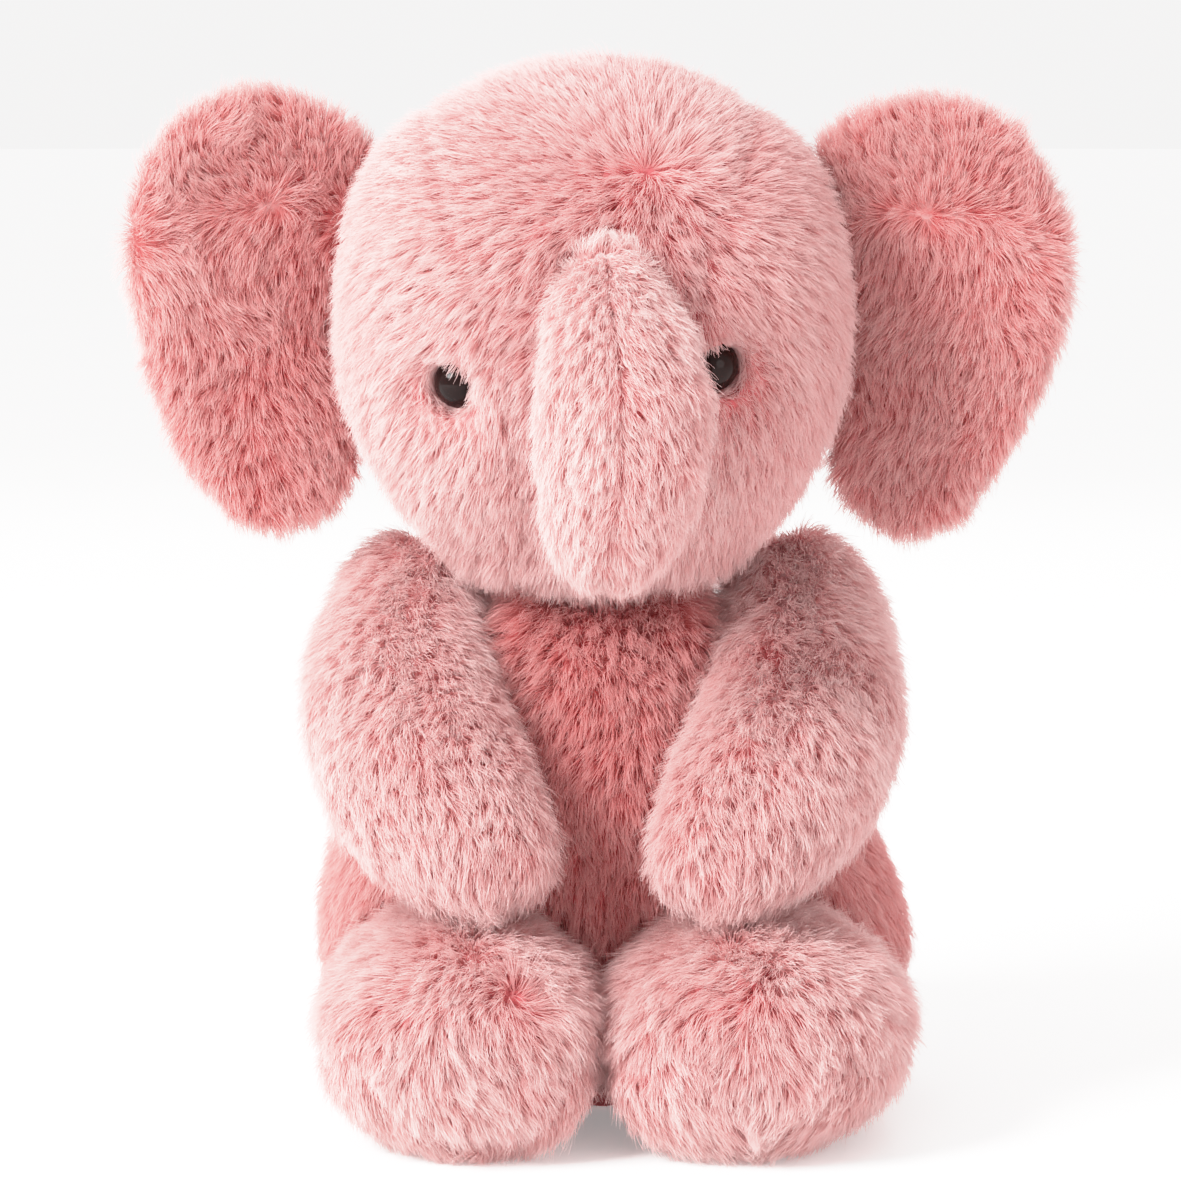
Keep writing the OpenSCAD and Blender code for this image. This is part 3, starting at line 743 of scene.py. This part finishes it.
def skins(body, form, field, seed):
    """Makes the skin pieces of one form from its outer surface, and gives each with what its pile needs."""
    nodes = form["skins"]
    filling = [form["filling"]] if form["filling"] else []
    whole = remeshed("whole_" + body, *joined(nodes + filling), SKIN_VOXEL * MM, SKIN_SMOOTHING)
    points, quads = largest(arrays(whole.data)[0], quads_of(whole))
    bpy.data.objects.remove(whole)
    near, ways = zip(*(distances(tree(*arrays(NODES[node].data)), points, FAR) for node in nodes))
    near, ways = np.array(near), np.array(ways)
    panel = near[:, quads].mean(2).argmin(0)
    if len(nodes) > 1:
        second = np.argsort(near, axis=0)[1]
        seam, away = near[second, np.arange(len(points))], ways[second, np.arange(len(points))]
    else:
        seam, away = np.full(len(points), FAR), np.zeros((len(points), 3))
    n = len(points)
    touched = [np.bincount(quads[panel == k].ravel(), minlength=n) > 0 for k in range(len(nodes))]
    on_seam = np.stack(touched).sum(0) > 1
    normal = facing(points, quads)
    points = points - across(away, normal) * (on_seam & (seam < 2.5 * MM))[:, None]
    rest = tree(*joined([n for b, f in FORMS.items() if b != body for n in f["skins"]]))
    room, _ = distances(rest, points, 0.012)
    if field is not None:
        free = step(1.5 * MM, 5 * MM, room) * step(0, 6 * MM, seam)
        points = points + carried(field, points) * free[:, None] * SWELL_SHARE
    data = dict(seam=seam, away=away, room=room, snug=on_seam.astype(float))
    points, quads, data = halved(points, quads, data)
    panel = np.tile(panel, 4)
    points = eased(points, quads, 1)
    seam, room, away = data["seam"] * (1 - data["snug"]), data["room"], data["away"]
    normal = facing(points, quads)
    points = pushed(body, points)
    way = lie(body, points, normal)
    swirl = lumps(points, 15 * MM, 3.1) * form["swirl"] + lumps(points, 5 * MM, 9.7) * 0.5 * form["swirl"]
    parting, reach = PARTINGS.get(body, OTHER_PARTING)
    way = unit(across(way + swirl + unit(away) * (parting * np.exp(-seam / reach))[:, None], normal))
    tuft = relief(points, quads, way, seed)
    free = step(0.5 * MM, 4 * MM, room)
    valley = bell(seam, 1.5 * MM)
    streak = sum(lumps(points + way * s * MM, 2.6 * MM, 5.3)[:, 0] for s in (-4, -2, 0, 2, 4)) / 2.2
    patch = lumps(points, 11 * MM, 1.7)[:, 1]
    gap, from_eye = np.full(len(points), 1.0), np.zeros((len(points), 3))
    if body == "head":
        for eye, look in EYES.values():
            off = points - eye
            out = across(off, look[None])
            far = np.linalg.norm(out, axis=1) + (off @ look < -12 * MM)
            from_eye[far < gap] = unit(out)[far < gap]
            gap = np.minimum(gap, far)
    way = unit(across(way + from_eye * 1.6 * bell(gap, EYE_PART)[:, None], normal))
    if body == "trunk":
        valley = valley * 0.35
    free = free * step(*EYE_CALM, gap)
    stands = RELIEF_HEIGHT * tuft * (0.3 + 0.7 * free) + 0.35 * streak
    height = stands * (1 - 0.6 * valley) - 1.5 - 0.8 * valley
    points = points + normal * height[:, None] * MM
    points[:, 2] = np.maximum(points[:, 2], (LOWEST_OUTER + 0.15 * tuft) * MM)
    # The ears' tone is lifted evenly, and further along their rims as a painted highlight on their fringes.
    rim = 0.22 + 0.8 * bell(seam, 9 * MM) if body.startswith("ear") else 0
    mottle = 0.6 + 0.9 * form["swirl"]
    # The tone: random streaks and patches of the pile, the ears' rims, and the painted light and shade of the lines
    # above.
    tone = np.clip(mottle * (0.65 * streak + 0.45 * patch) + rim + brushed(body, points), -1, 1)
    # The skin's colour level: its tone, with the hollows between its tufts painted darker and their tops paler as
    # painted shade and light, darker along its seams, partly their dark parting lines and partly painted shade in
    # their grooves, and a painted shade round each eye.
    paint = 0.6 * tone + 0.9 * (tuft - 0.45) - 0.5 * valley - 0.15 * bell(gap, EYE_PAINTED_SHADE)
    paint = np.clip(paint, -1, 1)
    normal = facing(points, quads)
    throat = NECK_PILE.get(body, 0) * step(42 * MM, 30 * MM, np.linalg.norm(points - THROAT, axis=1))
    grown = step(0.8 * MM, 2.2 * MM, room) * step(*BARE_RING, gap)
    length = form["pile"] * MM * (0.8 + 0.2 * step(0, 4 * MM, seam))
    length = length * (0.45 + 0.55 * np.maximum(step(0.5 * MM, 7 * MM, room), throat))
    length = length * (0.6 + 0.4 * step(*EYE_SHORT, gap)) * (1 + 0.4 * throat)
    data = dict(points=points, normal=normal, way=way, length=length, grown=grown, tone=tone, rise=throat)
    cloth = (THICK_CLOTH if body in THICK_BODIES else THIN_CLOTH) * MM
    inner = eased(points, quads, INNER_SMOOTHING) - unit(eased(normal, quads, INNER_SMOOTHING)) * cloth
    inner[:, 2] = np.maximum(inner[:, 2], LOWEST_INNER * MM)
    for k, node in enumerate(nodes):
        mine = quads[panel == k]
        slot = SLOT_OF[node]
        obj = shell("plush_" + node, points, inner, mine, 0.5 * paint)
        obj.data.materials.append(SKIN[slot])
        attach(obj, body)
        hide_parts(node)
        yield node, obj, data, mine


def fur(obj, data, quads, slot, seed, density):
    """Grows the pile on a skin, as hair curves that ride with it."""
    rng = np.random.default_rng(seed)
    tri = np.concatenate([quads[:, [0, 1, 2]], quads[:, [0, 2, 3]]])
    p, grown = data["points"], data["grown"]
    a, b, c = p[tri[:, 0]], p[tri[:, 1]], p[tri[:, 2]]
    area = np.linalg.norm(np.cross(b - a, c - a), axis=1) / 2
    weight = area * grown[tri].mean(1)

    def scatter(count):
        pick = rng.choice(len(tri), count, p=weight / weight.sum())
        u, v = rng.random(count), rng.random(count)
        flip = u + v > 1
        u[flip], v[flip] = 1 - u[flip], 1 - v[flip]
        share = np.stack([1 - u - v, u, v], axis=1)
        corners = tri[pick]

        def at_these(key):
            values = data[key][corners]
            return (values * (share[:, :, None] if values.ndim == 3 else share)).sum(1)

        return at_these

    count = max(8, int(weight.sum() / MM ** 2 * density))
    tufts = max(8, int(weight.sum() / MM ** 2 / TUFT_AREA))
    at, centre = scatter(count), scatter(tufts)
    keys = ("points", "normal", "way", "length", "tone", "rise")
    root, normal, way, length, tone, rise = (at(k) for k in keys)
    t_root, t_normal, t_way, t_length, t_tone, t_rise = (centre(k) for k in keys)
    t_way = unit(t_way + 0.25 * rng.normal(size=t_way.shape))
    t_length = t_length * rng.uniform(0.8, 1.12, tufts)
    t_shade = np.clip(0.5 + 0.3 * t_tone + rng.normal(0, 0.07, tufts), 0, 1)
    index = indexed(t_root)
    mine = np.array([index.find(q)[1] for q in root.tolist()])
    normal, way = unit(normal), unit(way + 0.16 * rng.normal(size=way.shape))
    length = length * rng.uniform(0.7, 1.1, count)
    lean = rng.normal(0, 0.1, count) - 0.45 * rise

    def strand(root, normal, way, length, lean):
        line = [root - normal * 0.8 * MM]
        part = (length / (STRAND_POINTS - 1))[:, None]
        for k in range(STRAND_POINTS - 1):
            turn = math.radians(30 + 14 * k) + lean
            line.append(line[-1] + (normal * np.cos(turn)[:, None] + way * np.sin(turn)[:, None]) * part)
        return np.stack(line, axis=1)

    hair = strand(root, normal, way, length, lean)
    tuft = strand(t_root, unit(t_normal), unit(t_way), t_length, -0.45 * t_rise)[mine]
    along = np.linspace(0, 1, STRAND_POINTS)
    pull = (rng.uniform(0.1, 0.55, count)[:, None] * along[None, :] ** 1.1)[:, :, None]
    hair = hair * (1 - pull) + tuft * pull
    hair += rng.normal(size=hair.shape) * (0.22 * MM * along)[None, :, None]
    # Each strand's shade follows the tone of its skin, with its painted light and shade.
    own_shade = np.clip(0.5 + 0.3 * tone + rng.normal(0, 0.08, count), 0, 1)
    shade = np.clip(0.55 * t_shade[mine] + 0.45 * own_shade, 0, 1)

    curves = bpy.data.hair_curves.new(obj.name + "_pile")
    curves.add_curves([STRAND_POINTS] * count)
    curves.position_data.foreach_set("vector", hair.astype(np.float32).ravel())
    radius = curves.attributes.get("radius") or curves.attributes.new("radius", "FLOAT", "POINT")
    width = np.tile((ROOT_RADIUS + (TIP_RADIUS - ROOT_RADIUS) * along ** 1.5) * MM, count)
    radius.data.foreach_set("value", width.astype(np.float32))
    tint = curves.attributes.new("shade", "FLOAT", "POINT")
    tint.data.foreach_set("value", np.repeat(shade, STRAND_POINTS).astype(np.float32))
    pile = bpy.data.objects.new(obj.name + "_pile", curves)
    bpy.context.scene.collection.objects.link(pile)
    curves.materials.append(FUR[slot])
    pile.parent = obj


FIELDS = swell()
seed = FIRST_SEED
FORMS["neck"] = dict(skins=["neck_stuffing"], filling=None, pile=8.0, swirl=0.3, fill=0.7)
SLOT_OF["neck_stuffing"] = "plush_pink"
for body, form in FORMS.items():
    for node, obj, data, quads in skins(body, form, FIELDS.get(body), seed):
        seed += 1
        density = STRANDS_PER_MM2 * 1 * (0.6 if node == "torso_base" else 1)
        fur(obj, data, quads, SLOT_OF[node], seed, density)


# ---------------------------------------------------------------- fillings and small parts

FIBRE = simple_material("polyester_fibre", linear(214, 212, 208), linear(246, 245, 241), 700, (0.85, 1.0), 0.9, 0.5)
POUCH = simple_material("pouch_cloth", linear(198, 190, 180), linear(232, 226, 216), 1500, (0.8, 0.95), 0.5, 0.2)
BEADS = simple_material("pellet_plastic", linear(206, 206, 204), linear(240, 240, 238), 400, (0.35, 0.55), 0.3)
DISC = simple_material("washer_plastic", linear(206, 208, 210), linear(232, 233, 234), 300, (0.4, 0.6), 0.2)
EYE = simple_material("eye_gloss", linear(14, 7, 7), linear(34, 17, 15), 160, (0.05, 0.12), 0.03, specular=0.1)
RIBBON = simple_material("label_ribbon", linear(226, 224, 220), linear(248, 247, 244), 1800, (0.6, 0.8), 0.5, 0.2)


def wadding(node, body, material, voxel=2.4, rise=0.7, size=5.0):
    """A soft, slightly lumpy piece on a body. The voxel, rise and size of the lumps are in millimetres."""
    obj = remeshed("fill_" + node, *arrays(NODES[node].data), voxel * MM, 4)
    points, _ = arrays(obj.data)
    lumpy = lumps(points, size * MM, 2.2)[:, 0] * 0.5 + lumps(points, size / 2.5 * MM, 4.4)[:, 1] * 0.3 - 0.5
    place(obj, pushed(body, points + normals(obj) * (lumpy * rise * MM)[:, None]))
    obj.data.materials.append(material)
    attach(obj, body)
    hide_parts(node)


for body, form in FORMS.items():
    if form["filling"]:
        wadding(form["filling"], body, FIBRE)
wadding("pellet_pouch", "torso", POUCH, 1.6, 0.5, 8.0)
wadding("pellet_fill", "torso", BEADS, 1.6, 0.9, 3.2)
wadding("care_label", "torso", RIBBON, 0.5, 0.1, 4.0)
for side in ("left", "right"):
    bead = remeshed("bead_eye_" + side, *arrays(NODES["eye_" + side].data), 0.3 * MM, 6)
    bead.data.materials.append(EYE)
    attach(bead, "head")
    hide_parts("eye_" + side)
    NODES["eye_washer_" + side].data.materials.clear()
    NODES["eye_washer_" + side].data.materials.append(DISC)


# ---------------------------------------------------------------- studio

def light(name, at, aim, size, power):
    lamp = bpy.data.lights.new(name, "AREA")
    lamp.shape, lamp.size, lamp.energy = "DISK", size, power
    obj = bpy.data.objects.new(name, lamp)
    bpy.context.scene.collection.objects.link(obj)
    obj.location = at
    obj.rotation_euler = (Vector(aim) - Vector(at)).to_track_quat("-Z", "Y").to_euler()


def floor():
    """A pale disc, just below the object."""
    spokes, rings, height = 96, (0.3, 0.8, 2.0, 5.0, 12.0), -0.4 * MM
    points = [(0.0, 0.0, height)]
    for r in rings:
        points += [(r * math.cos(t), r * math.sin(t), height) for t in np.arange(spokes) * 2 * math.pi / spokes]
    faces = [(0, 1 + i, 1 + (i + 1) % spokes) for i in range(spokes)]
    for k in range(len(rings) - 1):
        a, b = 1 + k * spokes, 1 + (k + 1) * spokes
        faces += [(a + i, b + i, b + (i + 1) % spokes, a + (i + 1) % spokes) for i in range(spokes)]
    mesh = bpy.data.meshes.new("studio_floor")
    mesh.from_pydata(points, [], faces)
    mesh.polygons.foreach_set("use_smooth", [True] * len(faces))
    obj = bpy.data.objects.new("studio_floor", mesh)
    bpy.context.scene.collection.objects.link(obj)
    mesh.materials.append(simple_material(
        "floor_paper", (0.9, 0.895, 0.89), (0.94, 0.935, 0.93), 60, (0.9, 1.0), 0.05, glow=0.25,
    ))


floor()
light("key", (-1.05, -0.8, 0.95), (0, 0, 0.13), 0.7, 54)
light("fill", (0.9, -1.3, 0.35), (0, 0, 0.12), 1.0, 7)
light("rim", (0.1, 1.0, 0.9), (0, 0, 0.15), 0.8, 6)
world = bpy.data.worlds.new("studio")
world.use_nodes = True
world.node_tree.nodes["Background"].inputs["Color"].default_value = (1, 0.985, 0.98, 1)
world.node_tree.nodes["Background"].inputs["Strength"].default_value = 1.15
bpy.context.scene.world = world

# A soft shoulder, so that the palest pile keeps its detail.
view = bpy.context.scene.view_settings
view.view_transform = "Standard"
view.use_curve_mapping = True
view.curve_mapping.white_level = (2, 2, 2)
shoulder = view.curve_mapping.curves[3]
for x, y in ((0.5, 0.5), (0.75, 0.71), (1.0, 0.86), (1.5, 0.96)):
    shoulder.points.new(x / 2, y)
view.curve_mapping.update()

# The camera stands 1 m from its aim; its focal length is given in pixels of the 1181-pixel image.
IMAGE, FOCAL, SENSOR = 1181, 4290, 36
AIM = Vector((-0.0029, -0.070, 0.1316))
ELEVATION = math.radians(7)
camera = bpy.data.objects.new("camera", bpy.data.cameras.new("camera"))
bpy.context.scene.collection.objects.link(camera)
camera.data.sensor_width, camera.data.lens = SENSOR, SENSOR * FOCAL / IMAGE
camera.location = AIM + Vector((0, -math.cos(ELEVATION), math.sin(ELEVATION)))
camera.rotation_euler = (AIM - camera.location).to_track_quat("-Z", "Y").to_euler()
bpy.context.scene.camera = camera
